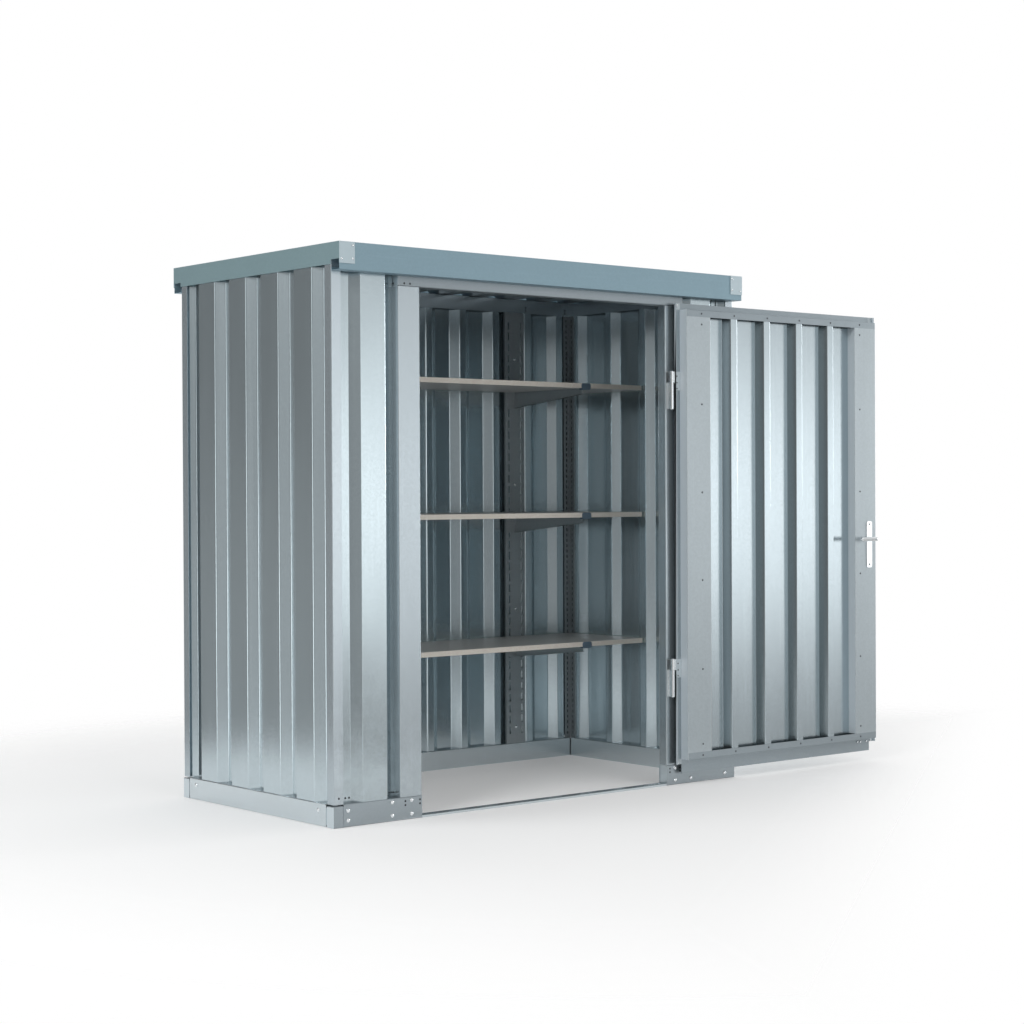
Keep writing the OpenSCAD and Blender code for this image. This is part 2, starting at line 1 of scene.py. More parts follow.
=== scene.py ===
"""Looks of the small steel storage container: ribbed sheets with real bends, bolts, rivets,
screws and holes, finishes, studio and camera. Metres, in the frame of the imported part."""

import json
import math

import bmesh
import bpy
from mathutils import Matrix, Vector


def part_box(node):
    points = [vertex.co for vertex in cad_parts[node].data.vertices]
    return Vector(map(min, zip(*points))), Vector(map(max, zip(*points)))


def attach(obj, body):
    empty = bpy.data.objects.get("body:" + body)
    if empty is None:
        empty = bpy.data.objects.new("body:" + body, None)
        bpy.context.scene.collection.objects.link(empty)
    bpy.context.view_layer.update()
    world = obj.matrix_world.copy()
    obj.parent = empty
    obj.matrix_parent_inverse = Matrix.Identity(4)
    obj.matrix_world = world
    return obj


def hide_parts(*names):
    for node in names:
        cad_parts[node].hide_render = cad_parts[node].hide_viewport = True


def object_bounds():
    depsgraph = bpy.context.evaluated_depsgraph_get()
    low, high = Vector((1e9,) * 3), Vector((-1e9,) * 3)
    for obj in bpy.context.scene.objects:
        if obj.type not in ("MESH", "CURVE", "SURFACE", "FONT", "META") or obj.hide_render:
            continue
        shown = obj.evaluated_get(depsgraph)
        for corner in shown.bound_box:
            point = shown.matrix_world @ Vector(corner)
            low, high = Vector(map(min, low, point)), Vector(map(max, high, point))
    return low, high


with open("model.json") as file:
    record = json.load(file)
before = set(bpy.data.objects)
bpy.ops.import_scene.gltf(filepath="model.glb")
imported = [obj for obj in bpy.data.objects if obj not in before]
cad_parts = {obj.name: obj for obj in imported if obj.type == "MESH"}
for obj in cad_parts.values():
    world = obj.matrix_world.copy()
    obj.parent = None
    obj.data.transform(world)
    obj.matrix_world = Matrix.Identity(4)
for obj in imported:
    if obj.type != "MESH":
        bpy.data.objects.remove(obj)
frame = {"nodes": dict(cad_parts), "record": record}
cad_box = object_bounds()

# ---------- names of the finishes ----------

SLOT_OF = {part["node"]: part["material_slot"] for part in frame["record"]["subparts"]}
BODY_OF = {
    node: body
    for body, nodes in frame["record"]["behaviour"]["bodies"].items()
    for node in nodes
}

X, Y, Z = Vector((1, 0, 0)), Vector((0, 1, 0)), Vector((0, 0, 1))


# ---------- building node trees ----------


def add(tree, kind, **settings):
    """A new node with these settings."""
    node = tree.nodes.new(kind)
    for key, value in settings.items():
        setattr(node, key, value)
    return node


def feed(tree, socket, value):
    """Links a socket, or sets its value."""
    if isinstance(value, bpy.types.NodeSocket):
        tree.links.new(value, socket)
    elif value is not None:
        socket.default_value = value


def wire(tree, kind, inputs=None, **settings):
    """A new node whose named or numbered inputs are fed."""
    node = add(tree, kind, **settings)
    for key, value in (inputs or {}).items():
        feed(tree, node.inputs[key], value)
    return node


def calc(tree, operation, *values):
    """A math node's result."""
    node = add(tree, "ShaderNodeMath", operation=operation)
    for socket, value in zip(node.inputs, values):
        feed(tree, socket, value)
    return node.outputs[0]


def declare(tree, side, kind, name, default=None):
    """A named socket on a group's outside."""
    socket = tree.interface.new_socket(name, in_out=side, socket_type=kind)
    if default is not None:
        socket.default_value = default


# ---------- geometry trees ----------


def sheet_tree():
    """Ribbed sheet: a grid whose columns are pressed in, with rounded bends, then thickened."""
    tree = bpy.data.node_groups.new("ribbed_sheet", "GeometryNodeTree")
    declare(tree, "INPUT", "NodeSocketGeometry", "Geometry")
    for name, default in [
        ("Width", 1.0), ("Height", 2.0), ("Column", 0.001), ("First rib", 0.0),
        ("Rib pitch", 0.2), ("Rib mouth", 0.09), ("Rib floor", 0.05), ("Rib depth", 0.03),
        ("Bend softness", 0.003), ("Thickness", 0.001), ("Hole radius", 0.0),
    ]:
        declare(tree, "INPUT", "NodeSocketFloat", name, default)
    declare(tree, "INPUT", "NodeSocketInt", "Last rib", 3)
    declare(tree, "INPUT", "NodeSocketBool", "Mirrored", False)
    declare(tree, "INPUT", "NodeSocketVector", "Hole place")
    declare(tree, "INPUT", "NodeSocketRotation", "Turn")
    declare(tree, "INPUT", "NodeSocketVector", "Place")
    declare(tree, "INPUT", "NodeSocketMaterial", "Finish")
    declare(tree, "OUTPUT", "NodeSocketGeometry", "Geometry")
    given = add(tree, "NodeGroupInput").outputs
    columns = calc(tree, "DIVIDE", given["Width"], given["Column"])
    grid = wire(tree, "GeometryNodeMeshGrid", {
        "Size X": given["Width"], "Size Y": given["Height"], "Vertices X": columns,
        "Vertices Y": 2,
    })
    point = add(tree, "GeometryNodeInputPosition")
    place = wire(tree, "ShaderNodeSeparateXYZ", {0: point.outputs[0]})
    across = wire(tree, "GeometryNodeSwitch", {
        "Switch": given["Mirrored"], "False": place.outputs["X"],
        "True": calc(tree, "ABSOLUTE", place.outputs["X"]),
    }, input_type="FLOAT").outputs[0]
    from_first = calc(tree, "SUBTRACT", across, given["First rib"])
    number = calc(tree, "ROUND", calc(tree, "DIVIDE", from_first, given["Rib pitch"]))
    number = calc(tree, "MINIMUM", calc(tree, "MAXIMUM", number, 0.0), given["Last rib"])
    off_centre = calc(tree, "ABSOLUTE", calc(
        tree, "SUBTRACT", from_first, calc(tree, "MULTIPLY", number, given["Rib pitch"])))
    half_mouth = calc(tree, "MULTIPLY", given["Rib mouth"], 0.5)
    run = calc(tree, "SUBTRACT", half_mouth, calc(tree, "MULTIPLY", given["Rib floor"], 0.5))
    climb = calc(tree, "DIVIDE", calc(tree, "SUBTRACT", half_mouth, off_centre), run)
    climb = calc(tree, "MULTIPLY", climb, given["Rib depth"])
    pressed = calc(tree, "SMOOTH_MAX", climb, 0.0, given["Bend softness"])
    pressed = calc(tree, "SMOOTH_MIN", pressed, given["Rib depth"], given["Bend softness"])
    spot = wire(tree, "ShaderNodeCombineXYZ", {
        "X": place.outputs["X"], "Y": pressed, "Z": place.outputs["Y"]})
    face = wire(tree, "GeometryNodeSetPosition", {
        "Geometry": grid.outputs["Mesh"], "Position": spot.outputs[0]})
    back = wire(tree, "GeometryNodeExtrudeMesh", {
        "Mesh": face.outputs[0], "Individual": False,
        "Offset Scale": calc(tree, "MULTIPLY", given["Thickness"], -1.0),
    }, mode="FACES")
    flipped = wire(tree, "GeometryNodeFlipFaces", {"Mesh": back.outputs["Mesh"]})
    both = add(tree, "GeometryNodeJoinGeometry")
    feed(tree, both.inputs[0], face.outputs[0])
    feed(tree, both.inputs[0], flipped.outputs[0])
    closed = wire(tree, "GeometryNodeMergeByDistance", {
        "Geometry": both.outputs[0], "Distance": 1e-5})
    drill = wire(tree, "GeometryNodeMeshCylinder", {
        "Vertices": 32, "Radius": given["Hole radius"], "Depth": 0.2})
    drill = wire(tree, "GeometryNodeTransform", {
        "Geometry": drill.outputs["Mesh"], "Rotation": (math.pi / 2, 0, 0),
        "Translation": given["Hole place"],
    })
    drilled = wire(tree, "GeometryNodeMeshBoolean", {
        "Mesh 1": closed.outputs[0], "Mesh 2": drill.outputs[0]}, operation="DIFFERENCE")
    has_hole = calc(tree, "GREATER_THAN", given["Hole radius"], 0.0)
    solid = wire(tree, "GeometryNodeSwitch", {
        "Switch": has_hole, "False": closed.outputs[0], "True": drilled.outputs["Mesh"],
    }, input_type="GEOMETRY")
    finish_tree(tree, solid.outputs[0], given)
    return tree


def finish_tree(tree, shape, given):
    """Shades a shape smooth between its sharp edges, puts it in place and gives it its finish."""
    smooth = wire(tree, "GeometryNodeSetShadeSmooth", {"Geometry": shape}, domain="FACE")
    angle = add(tree, "GeometryNodeInputMeshEdgeAngle").outputs["Unsigned Angle"]
    sharp = calc(tree, "GREATER_THAN", angle, math.radians(40))
    edged = wire(tree, "GeometryNodeSetShadeSmooth", {
        "Geometry": smooth.outputs[0], "Selection": sharp, "Shade Smooth": False}, domain="EDGE")
    moved = edged.outputs[0]
    if "Turn" in given:
        moved = wire(tree, "GeometryNodeTransform", {
            "Geometry": moved, "Rotation": given["Turn"], "Translation": given["Place"]}).outputs[0]
    real = wire(tree, "GeometryNodeRealizeInstances", {"Geometry": moved})
    done = wire(tree, "GeometryNodeSetMaterial", {
        "Geometry": real.outputs[0], "Material": given["Finish"]})
    feed(tree, add(tree, "NodeGroupOutput").inputs[0], done.outputs[0])


def head_tree():
    """Low domed heads on the points of the given mesh, all facing one way."""
    tree = bpy.data.node_groups.new("fastener_heads", "GeometryNodeTree")
    declare(tree, "INPUT", "NodeSocketGeometry", "Geometry")
    declare(tree, "INPUT", "NodeSocketFloat", "Head radius", 0.005)
    declare(tree, "INPUT", "NodeSocketFloat", "Head height", 0.003)
    declare(tree, "INPUT", "NodeSocketVector", "Facing", (0, 0, 1))
    declare(tree, "INPUT", "NodeSocketMaterial", "Finish")
    declare(tree, "OUTPUT", "NodeSocketGeometry", "Geometry")
    given = add(tree, "NodeGroupInput").outputs
    ball = wire(tree, "GeometryNodeMeshUVSphere", {"Segments": 14, "Rings": 8, "Radius": 1.0})
    size = wire(tree, "ShaderNodeCombineXYZ", {
        "X": given["Head radius"], "Y": given["Head radius"], "Z": given["Head height"]})
    head = wire(tree, "GeometryNodeTransform", {
        "Geometry": ball.outputs["Mesh"], "Scale": size.outputs[0]})
    turn = wire(tree, "FunctionNodeAlignRotationToVector", {"Vector": given["Facing"]}, axis="Z")
    heads = wire(tree, "GeometryNodeInstanceOnPoints", {
        "Points": given["Geometry"], "Instance": head.outputs[0], "Rotation": turn.outputs[0]})
    real = wire(tree, "GeometryNodeRealizeInstances", {"Geometry": heads.outputs[0]})
    finish_tree(tree, real.outputs[0], given)
    return tree


def from_tree(tree, name, body, values, points=()):
    """Runs a tree on some points with its inputs set, and keeps the plain mesh on a body."""
    seed = bpy.data.meshes.new(name + "_points")
    seed.from_pydata([tuple(p) for p in points], [], [])
    piece = bpy.data.objects.new(name, seed)
    bpy.context.scene.collection.objects.link(piece)
    modifier = piece.modifiers.new("shape", "NODES")
    modifier.node_group = tree
    for item in tree.interface.items_tree:
        if item.item_type == "SOCKET" and item.in_out == "INPUT" and item.name in values:
            modifier[item.identifier] = values[item.name]
    made = bpy.data.meshes.new_from_object(
        piece.evaluated_get(bpy.context.evaluated_depsgraph_get()))
    piece.modifiers.remove(modifier)
    piece.data = made
    made.name = name
    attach(piece, body)
    return piece


# ---------- shader groups shared by the finishes ----------


def spangle_group():
    """Crystal flakes of a zinc coat: a colour with lighter and darker flakes, and a roughness."""
    group = bpy.data.node_groups.new("zinc_spangle", "ShaderNodeTree")
    declare(group, "INPUT", "NodeSocketVector", "Vector")
    declare(group, "INPUT", "NodeSocketColor", "Colour", (0.5, 0.55, 0.6, 1))
    declare(group, "INPUT", "NodeSocketFloat", "Flake size", 0.010)
    declare(group, "INPUT", "NodeSocketFloat", "Contrast", 0.1)
    declare(group, "INPUT", "NodeSocketFloat", "Roughness", 0.4)
    declare(group, "INPUT", "NodeSocketFloat", "Roughness spread", 0.1)
    declare(group, "OUTPUT", "NodeSocketColor", "Colour")
    declare(group, "OUTPUT", "NodeSocketFloat", "Roughness")
    declare(group, "OUTPUT", "NodeSocketFloat", "Height")
    given = add(group, "NodeGroupInput").outputs
    scale = calc(group, "DIVIDE", 1.0, given["Flake size"])
    flakes = wire(group, "ShaderNodeTexVoronoi", {
        "Vector": given["Vector"], "Scale": scale, "Randomness": 1.0})
    shade = wire(group, "ShaderNodeSeparateColor", {0: flakes.outputs["Color"]})
    cloud = wire(group, "ShaderNodeTexNoise", {
        "Vector": given["Vector"], "Scale": 3.0, "Detail": 3.0, "Roughness": 0.55})
    mixed = calc(group, "ADD", calc(group, "MULTIPLY", shade.outputs[0], 0.65),
                 calc(group, "MULTIPLY", cloud.outputs["Fac"], 0.7))
    swing = calc(group, "MULTIPLY", calc(group, "SUBTRACT", mixed, 0.675), given["Contrast"])
    light = calc(group, "ADD", swing, 1.0)
    tint = wire(group, "ShaderNodeMix", {
        "Factor": 1.0, 6: given["Colour"],
        7: wire(group, "ShaderNodeCombineColor", {0: light, 1: light, 2: light}).outputs[0],
    }, data_type="RGBA", blend_type="MULTIPLY")
    out = add(group, "NodeGroupOutput")
    feed(group, out.inputs["Colour"], tint.outputs[2])
    rough = calc(group, "MULTIPLY", calc(group, "SUBTRACT", shade.outputs[1], 0.5),
                 given["Roughness spread"])
    feed(group, out.inputs["Roughness"], calc(group, "ADD", rough, given["Roughness"]))
    feed(group, out.inputs["Height"], shade.outputs[2])
    return group


def streak_group():
    """Faint marks drawn out along one axis, such as rolling marks, runs and light scratches."""
    group = bpy.data.node_groups.new("drawn_marks", "ShaderNodeTree")
    declare(group, "INPUT", "NodeSocketVector", "Vector")
    declare(group, "INPUT", "NodeSocketVector", "Stretch", (60.0, 60.0, 1.5))
    declare(group, "INPUT", "NodeSocketFloat", "Start", 0.55)
    declare(group, "INPUT", "NodeSocketFloat", "Strength", 0.2)
    declare(group, "OUTPUT", "NodeSocketFloat", "Mask")
    given = add(group, "NodeGroupInput").outputs
    stretched = wire(group, "ShaderNodeVectorMath", {
        0: given["Vector"], 1: given["Stretch"]}, operation="MULTIPLY")
    marks = wire(group, "ShaderNodeTexNoise", {
        "Vector": stretched.outputs[0], "Scale": 1.0, "Detail": 5.0, "Roughness": 0.6})
    over = wire(group, "ShaderNodeMapRange", {
        "Value": marks.outputs["Fac"], "From Min": given["Start"],
        "From Max": calc(group, "ADD", given["Start"], 0.15), "To Max": given["Strength"],
    })
    feed(group, add(group, "NodeGroupOutput").inputs["Mask"], over.outputs[0])
    return group


def dust_and_shade_group():
    """A mask that thins out upwards from the ground: real dust on most finishes, painted shade where
    a finish gives it a dark colour.
    """
    group = bpy.data.node_groups.new("ground_dust_and_shade", "ShaderNodeTree")
    declare(group, "INPUT", "NodeSocketVector", "Vector")
    declare(group, "INPUT", "NodeSocketFloat", "Height", 0.3)
    declare(group, "INPUT", "NodeSocketFloat", "Strength", 0.15)
    declare(group, "OUTPUT", "NodeSocketFloat", "Mask")
    given = add(group, "NodeGroupInput").outputs
    place = wire(group, "ShaderNodeSeparateXYZ", {0: given["Vector"]})
    low = wire(group, "ShaderNodeMapRange", {
        "Value": place.outputs["Z"], "From Min": given["Height"], "From Max": 0.0,
        "To Max": given["Strength"],
    })
    clumps = wire(group, "ShaderNodeTexNoise", {
        "Vector": given["Vector"], "Scale": 26.0, "Detail": 6.0, "Roughness": 0.7})
    feed(group, add(group, "NodeGroupOutput").inputs["Mask"],
         calc(group, "MULTIPLY", low.outputs[0], clumps.outputs["Fac"]))
    return group


SPANGLE = spangle_group()
MARKS = streak_group()
DUST_AND_SHADE = dust_and_shade_group()


# ---------- finishes ----------


def blank(name):
    """A new material with its tree, its shader and its object coordinates."""
    material = bpy.data.materials.new(name)
    material.use_nodes = True
    tree = material.node_tree
    shader = tree.nodes["Principled BSDF"]
    place = add(tree, "ShaderNodeTexCoord").outputs["Object"]
    return material, tree, shader, place


def use(tree, group, values):
    """A shared group inside a material, its inputs fed."""
    node = add(tree, "ShaderNodeGroup", node_tree=group)
    for key, value in values.items():
        feed(tree, node.inputs[key], value)
    return node


def blend(tree, factor, first, second):
    """Two colours mixed by a factor."""
    return wire(tree, "ShaderNodeMix", {"Factor": factor, 6: first, 7: second},
                data_type="RGBA").outputs[2]


def zinc(name, colour, metallic, roughness, flake=0.007, contrast=0.06, spread=0.03,
         stretch=(70.0, 70.0, 1.2), marks=0.12, relief=0.00003, bow=0.002,
         dust_and_shade=0.12, reach=0.3, dust_and_shade_colour=(0.42, 0.40, 0.37), turned=None):
    """Bare galvanised steel: spangle, marks drawn out by rolling, and a mask near the ground that is
    real dust on most finishes and painted shade on those that give it a dark colour.
    With turned, the faces that look along that axis get a colour and metallic of their own; several
    finishes use this to paint light or shade on faces by the way they face."""
    material, tree, shader, place = blank(name)
    coat = use(tree, SPANGLE, {
        "Vector": place, "Colour": (*colour, 1), "Flake size": flake, "Contrast": contrast,
        "Roughness": roughness, "Roughness spread": spread,
    })
    drawn = use(tree, MARKS, {"Vector": place, "Stretch": stretch, "Strength": marks})
    # Near the ground: real dust, and painted shade that darkens the lower part where its colour is
    # dark.
    dust_and_shade_mask = use(tree, DUST_AND_SHADE, {"Vector": place, "Height": reach, "Strength": dust_and_shade})
    pale = tuple(min(1.0, c * 1.25 + 0.04) for c in colour)
    tone = blend(tree, drawn.outputs[0], coat.outputs["Colour"], (*pale, 1))
    tone = blend(tree, dust_and_shade_mask.outputs[0], tone, (*dust_and_shade_colour, 1))
    feed(tree, shader.inputs["Base Color"], tone)
    feed(tree, shader.inputs["Roughness"], coat.outputs["Roughness"])
    shader.inputs["Metallic"].default_value = metallic
    # Colour and metallic by facing: painted light or shade on the faces that look along one axis.
    if turned:
        axis, other, other_metallic = turned
        facing = wire(tree, "ShaderNodeSeparateXYZ", {
            0: add(tree, "ShaderNodeTexCoord").outputs["Normal"]})
        along = calc(tree, "GREATER_THAN", calc(tree, "ABSOLUTE", facing.outputs[axis]), 0.8)
        feed(tree, shader.inputs["Base Color"], blend(tree, along, tone, (*other, 1)))
        feed(tree, shader.inputs["Metallic"], wire(tree, "ShaderNodeMapRange", {
            "Value": along, "To Min": metallic, "To Max": other_metallic}).outputs[0])
    swell = wire(tree, "ShaderNodeTexNoise", {"Vector": wire(
        tree, "ShaderNodeMapping", {"Vector": place, "Scale": (9.0, 9.0, 1.1)}).outputs[0],
        "Scale": 1.0, "Detail": 1.0})
    bowed = wire(tree, "ShaderNodeBump", {
        "Height": swell.outputs["Fac"], "Distance": bow, "Strength": 1.0})
    grain = wire(tree, "ShaderNodeBump", {
        "Height": coat.outputs["Height"], "Distance": relief, "Strength": 0.35,
        "Normal": bowed.outputs[0]})
    feed(tree, shader.inputs["Normal"], grain.outputs[0])
    return material


def chipboard(name):
    """Shelf board: pale coated faces, raw chip edges."""
    material, tree, shader, place = blank(name)
    chips = wire(tree, "ShaderNodeTexVoronoi", {"Vector": wire(
        tree, "ShaderNodeMapping", {"Vector": place, "Scale": (1.0, 1.0, 2.6)}).outputs[0],
        "Scale": 240.0})
    chip = wire(tree, "ShaderNodeSeparateColor", {0: chips.outputs["Color"]})
    raw = blend(tree, chip.outputs[0], (0.88, 0.80, 0.70, 1), (1.0, 0.97, 0.90, 1))
    layers = wire(tree, "ShaderNodeTexNoise", {"Vector": wire(
        tree, "ShaderNodeMapping", {"Vector": place, "Scale": (6.0, 6.0, 160.0)}).outputs[0],
        "Scale": 1.0, "Detail": 2.0})
    raw = blend(tree, calc(tree, "MULTIPLY", layers.outputs["Fac"], 0.5), raw, (0.90, 0.84, 0.75, 1))
    fleck = wire(tree, "ShaderNodeTexNoise", {"Vector": place, "Scale": 90.0, "Detail": 4.0})
    coat = blend(tree, fleck.outputs["Fac"], (0.50, 0.50, 0.49, 1), (0.60, 0.60, 0.58, 1))
    normal = wire(tree, "ShaderNodeSeparateXYZ", {
        0: add(tree, "ShaderNodeTexCoord").outputs["Normal"]})
    flat = calc(tree, "GREATER_THAN", calc(tree, "ABSOLUTE", normal.outputs["Z"]), 0.5)
    feed(tree, shader.inputs["Base Color"], blend(tree, flat, raw, coat))
    feed(tree, shader.inputs["Roughness"], wire(tree, "ShaderNodeMapRange", {
        "Value": flat, "To Min": 0.85, "To Max": 0.42}).outputs[0])
    bump = wire(tree, "ShaderNodeBump", {
        "Height": chip.outputs[1], "Distance": 0.0004,
        "Strength": calc(tree, "MULTIPLY", calc(tree, "SUBTRACT", 1.0, flat), 0.6)})
    feed(tree, shader.inputs["Normal"], bump.outputs[0])
    return material


def moulded(name, colour):
    """Moulded plastic with a fine grain."""
    material, tree, shader, place = blank(name)
    grain = wire(tree, "ShaderNodeTexNoise", {"Vector": place, "Scale": 900.0, "Detail": 2.0})
    wide = wire(tree, "ShaderNodeTexNoise", {"Vector": place, "Scale": 30.0, "Detail": 4.0})
    pale = tuple(c * 1.5 + 0.01 for c in colour)
    feed(tree, shader.inputs["Base Color"],
         blend(tree, wide.outputs["Fac"], (*colour, 1), (*pale, 1)))
    feed(tree, shader.inputs["Roughness"], wire(tree, "ShaderNodeMapRange", {
        "Value": grain.outputs["Fac"], "To Min": 0.38, "To Max": 0.58}).outputs[0])
    bump = wire(tree, "ShaderNodeBump", {
        "Height": grain.outputs["Fac"], "Distance": 0.0002, "Strength": 0.4})
    feed(tree, shader.inputs["Normal"], bump.outputs[0])
    return material


FINISH = {
    "galvanised_frame": zinc("frame_zinc", (0.50, 0.57, 0.61), 0.78, 0.24),
    "galvanised_wall": zinc("wall_zinc", (0.56, 0.65, 0.69), 0.88, 0.18, bow=0.004),
    "galvanised_roof": zinc("roof_zinc", (0.52, 0.56, 0.59), 0.85, 0.34),
    # Front and back trims: zinc grey with a blue-teal tint that is painted reflection.
    "galvanised_trim": zinc("trim_zinc", (0.27, 0.40, 0.47), 0.45, 0.42,
                            stretch=(3.0, 3.0, 120.0)),
    "galvanised_base": zinc("base_zinc", (0.70, 0.78, 0.82), 0.80, 0.24,
                            stretch=(3.0, 3.0, 120.0), dust_and_shade=0.25),
    "galvanised_door": zinc("door_zinc", (0.53, 0.61, 0.65), 0.92, 0.18),
    "shelf_board": chipboard("coated_chipboard"),
    "dark_plastic": moulded("cap_plastic", (0.10, 0.15, 0.20)),
    "shelf_steel": zinc("shelf_zinc", (0.46, 0.50, 0.52), 0.7, 0.45, flake=0.006),
    "zinc_hardware": zinc("bright_zinc", (0.86, 0.90, 0.92), 0.85, 0.17, flake=0.004,
                          contrast=0.05, marks=0.2, dust_and_shade=0.0, relief=0.00002),
}
# Near black: the real colour of the roof washers, and painted shade where it stands for holes.
DARK_WASHER_AND_HOLE_SHADE = moulded("washer_dark_and_hole_shade", (0.010, 0.013, 0.017))
DULL = zinc("screw_dull", (0.11, 0.12, 0.13), 0.5, 0.5, flake=0.002, marks=0.0, dust_and_shade=0.0)

# Painted shade: a dark grey laid over the front panels, door posts and corner posts, darkening them
# towards the ground up to 0.75 m.
PAINTED_LOW_SHADE = dict(dust_and_shade=0.9, reach=0.75, dust_and_shade_colour=(0.30, 0.33, 0.34))
FRONT_PANEL = zinc("front_panel_zinc", (0.56, 0.65, 0.69), 0.88, 0.18, bow=0.003, **PAINTED_LOW_SHADE)
DOOR_POST = zinc("door_post_zinc", (0.51, 0.58, 0.62), 0.78, 0.24, **PAINTED_LOW_SHADE)
# Corner posts: painted light and shade by facing, the front faces lighter than the faces that look
# along X; and the painted low shade.
CORNER_POST = zinc("corner_post_zinc", (0.60, 0.68, 0.73), 0.78, 0.24,
                   turned=("X", (0.50, 0.57, 0.61), 0.78), **PAINTED_LOW_SHADE)
# Front base rails, corner feet and lintel: painted shade, all faces except those that look along X
# much darker than the base rails' colour.
BASE_FRONT = zinc("base_front_zinc", (0.34, 0.39, 0.42), 0.74, 0.34, stretch=(3.0, 3.0, 120.0),
                  turned=("X", (0.70, 0.78, 0.82), 0.80))
# Door stiles: painted highlight, the faces that look along X, the rim sides, much lighter and hardly
# metallic.
DOOR_STILE = zinc("door_stile_zinc", (0.44, 0.50, 0.53), 0.60, 0.29, contrast=0.10,
                  turned=("X", (0.74, 0.82, 0.87), 0.10))
DOOR_RAIL = zinc("door_rail_zinc", (0.31, 0.36, 0.39), 0.76, 0.42, stretch=(3.0, 3.0, 120.0))
# Door sheet: painted shade, the rib sides that look along X darker.
DOOR_SHEET = zinc("door_sheet_zinc", (0.53, 0.61, 0.65), 0.92, 0.18,
                  turned=("X", (0.30, 0.35, 0.37), 0.92))
# Shelf brackets: the faces that look up or down are near black.
BRACKET = zinc("bracket_zinc", (0.46, 0.50, 0.52), 0.7, 0.45, flake=0.006,
               turned=("Z", (0.03, 0.04, 0.045), 0.3))
# Side trims: painted light, the returns that look along Y lighter than the web; the blue-teal tint
# is painted reflection on zinc grey.
TRIM_SIDE = zinc("side_trim_zinc", (0.26, 0.38, 0.41), 0.45, 0.42, stretch=(3.0, 3.0, 120.0),
                 turned=("Y", (0.55, 0.66, 0.71), 0.45))
FINISH_OF = {node: FINISH[slot] for node, slot in SLOT_OF.items()}
for start, finish in [
    ("wall_front", FRONT_PANEL), ("door_post", DOOR_POST), ("corner_post", CORNER_POST),
    ("base_rail_front", BASE_FRONT), ("corner_feet", BASE_FRONT), ("lintel", BASE_FRONT),
    ("door_stile", DOOR_STILE), ("door_rail", DOOR_RAIL), ("roof_trim_left", TRIM_SIDE),
    ("roof_trim_right", TRIM_SIDE), ("shelf_bracket", BRACKET), ("door_sheet", DOOR_SHEET),
]:
    for node in FINISH_OF:
        if node.startswith(start):
            FINISH_OF[node] = finish
for node, thing in frame["nodes"].items():
    thing.data.materials.clear()
    thing.data.materials.append(FINISH_OF[node])


# ---------- ribbed sheets ----------

SHEET = sheet_tree()
SHEET_T = 0.001
COLUMN = 0.001


def low(node):
    """The lowest corner of a node's box."""
    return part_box(node)[0]


def high(node):
    """The highest corner of a node's box."""
    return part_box(node)[1]


def mid(node):
    """The middle of a node's box."""
    return (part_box(node)[0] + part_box(node)[1]) / 2


def ribbed(node, width, values, turn, place):
    """A ribbed sheet that stands for a CAD sheet."""
    height = values.pop("Height", high(node).z - low(node).z)
    piece = from_tree(SHEET, node + "_sheet", BODY_OF[node], {
        "Width": width, "Height": height, "Column": COLUMN, "Thickness": SHEET_T,
        "Finish": FINISH_OF[node], "Turn": turn, "Place": place, **values,
    })
    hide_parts(node)
    return piece


WALL_RIB = {"Rib mouth": 0.108, "Rib floor": 0.036, "Rib depth": 0.030, "Bend softness": 0.0035}
FRONT_RIB, FRONT_PITCH = 0.082, 0.220
ROOF_PITCH = 0.190
DOOR_RIB, DOOR_PITCH, DOOR_LAST_RIB = 0.993, 0.204, 3
SPINDLE_X, SPINDLE_Z = 1.860, 1.015
SIDE_RIBS = {**WALL_RIB, "First rib": 0.0, "Rib pitch": 0.228, "Last rib": 2, "Mirrored": True}
BACK_RIBS = {**WALL_RIB, "First rib": 0.0, "Rib pitch": 0.191, "Last rib": 5, "Mirrored": True}
QUARTER = math.pi / 2

for node, face, turn in [("wall_left", low, -QUARTER), ("wall_right", high, QUARTER)]:
    centre = mid(node)
    ribbed(node, high(node).y - low(node).y, dict(SIDE_RIBS), (0, 0, turn),
           (face(node).x, centre.y, centre.z))

centre = mid("wall_back")
ribbed("wall_back", high("wall_back").x - low("wall_back").x, dict(BACK_RIBS),
       (0, 0, math.pi), (centre.x, high("wall_back").y, centre.z))

for node, side in [("wall_front_left", 1), ("wall_front_right", -1)]:
    centre = mid(node)
    width = high(node).x - low(node).x
    corner = cad_box[0].x if side > 0 else -cad_box[0].x
    ribs = {**WALL_RIB, "Rib pitch": FRONT_PITCH, "Last rib": 1}
    ribs["First rib"] = corner + side * FRONT_RIB - centre.x
    if side < 0:
        ribs["First rib"] -= FRONT_PITCH
    ribbed(node, width, ribs, (0, 0, 0), (centre.x, low(node).y, centre.z))

centre = mid("roof_sheet")
ribbed("roof_sheet", high("roof_sheet").x - low("roof_sheet").x, {
    **WALL_RIB, "Height": high("roof_sheet").y - low("roof_sheet").y, "Rib depth": 0.034,
    "First rib": 0.0, "Rib pitch": ROOF_PITCH, "Last rib": 5, "Mirrored": True,
}, (QUARTER, 0, 0), (centre.x, centre.y, low("roof_sheet").z))

centre = mid("door_sheet")
ribbed("door_sheet", high("door_sheet").x - low("door_sheet").x, {
    "Rib mouth": 0.070, "Rib floor": 0.036, "Rib depth": 0.039, "Bend softness": 0.0022,
    "First rib": centre.x - DOOR_RIB - DOOR_LAST_RIB * DOOR_PITCH,
    "Rib pitch": DOOR_PITCH, "Last rib": DOOR_LAST_RIB,
    "Hole radius": 0.0115, "Hole place": (centre.x - SPINDLE_X, 0, SPINDLE_Z - centre.z),
}, (0, 0, math.pi), (centre.x, high("door_sheet").y, centre.z))


# ---------- rounded corners of folded pieces ----------


def breadth(face):
    """Roughly how wide a face is across its longest side."""
    return face.calc_area() / max(edge.calc_length() for edge in face.edges)


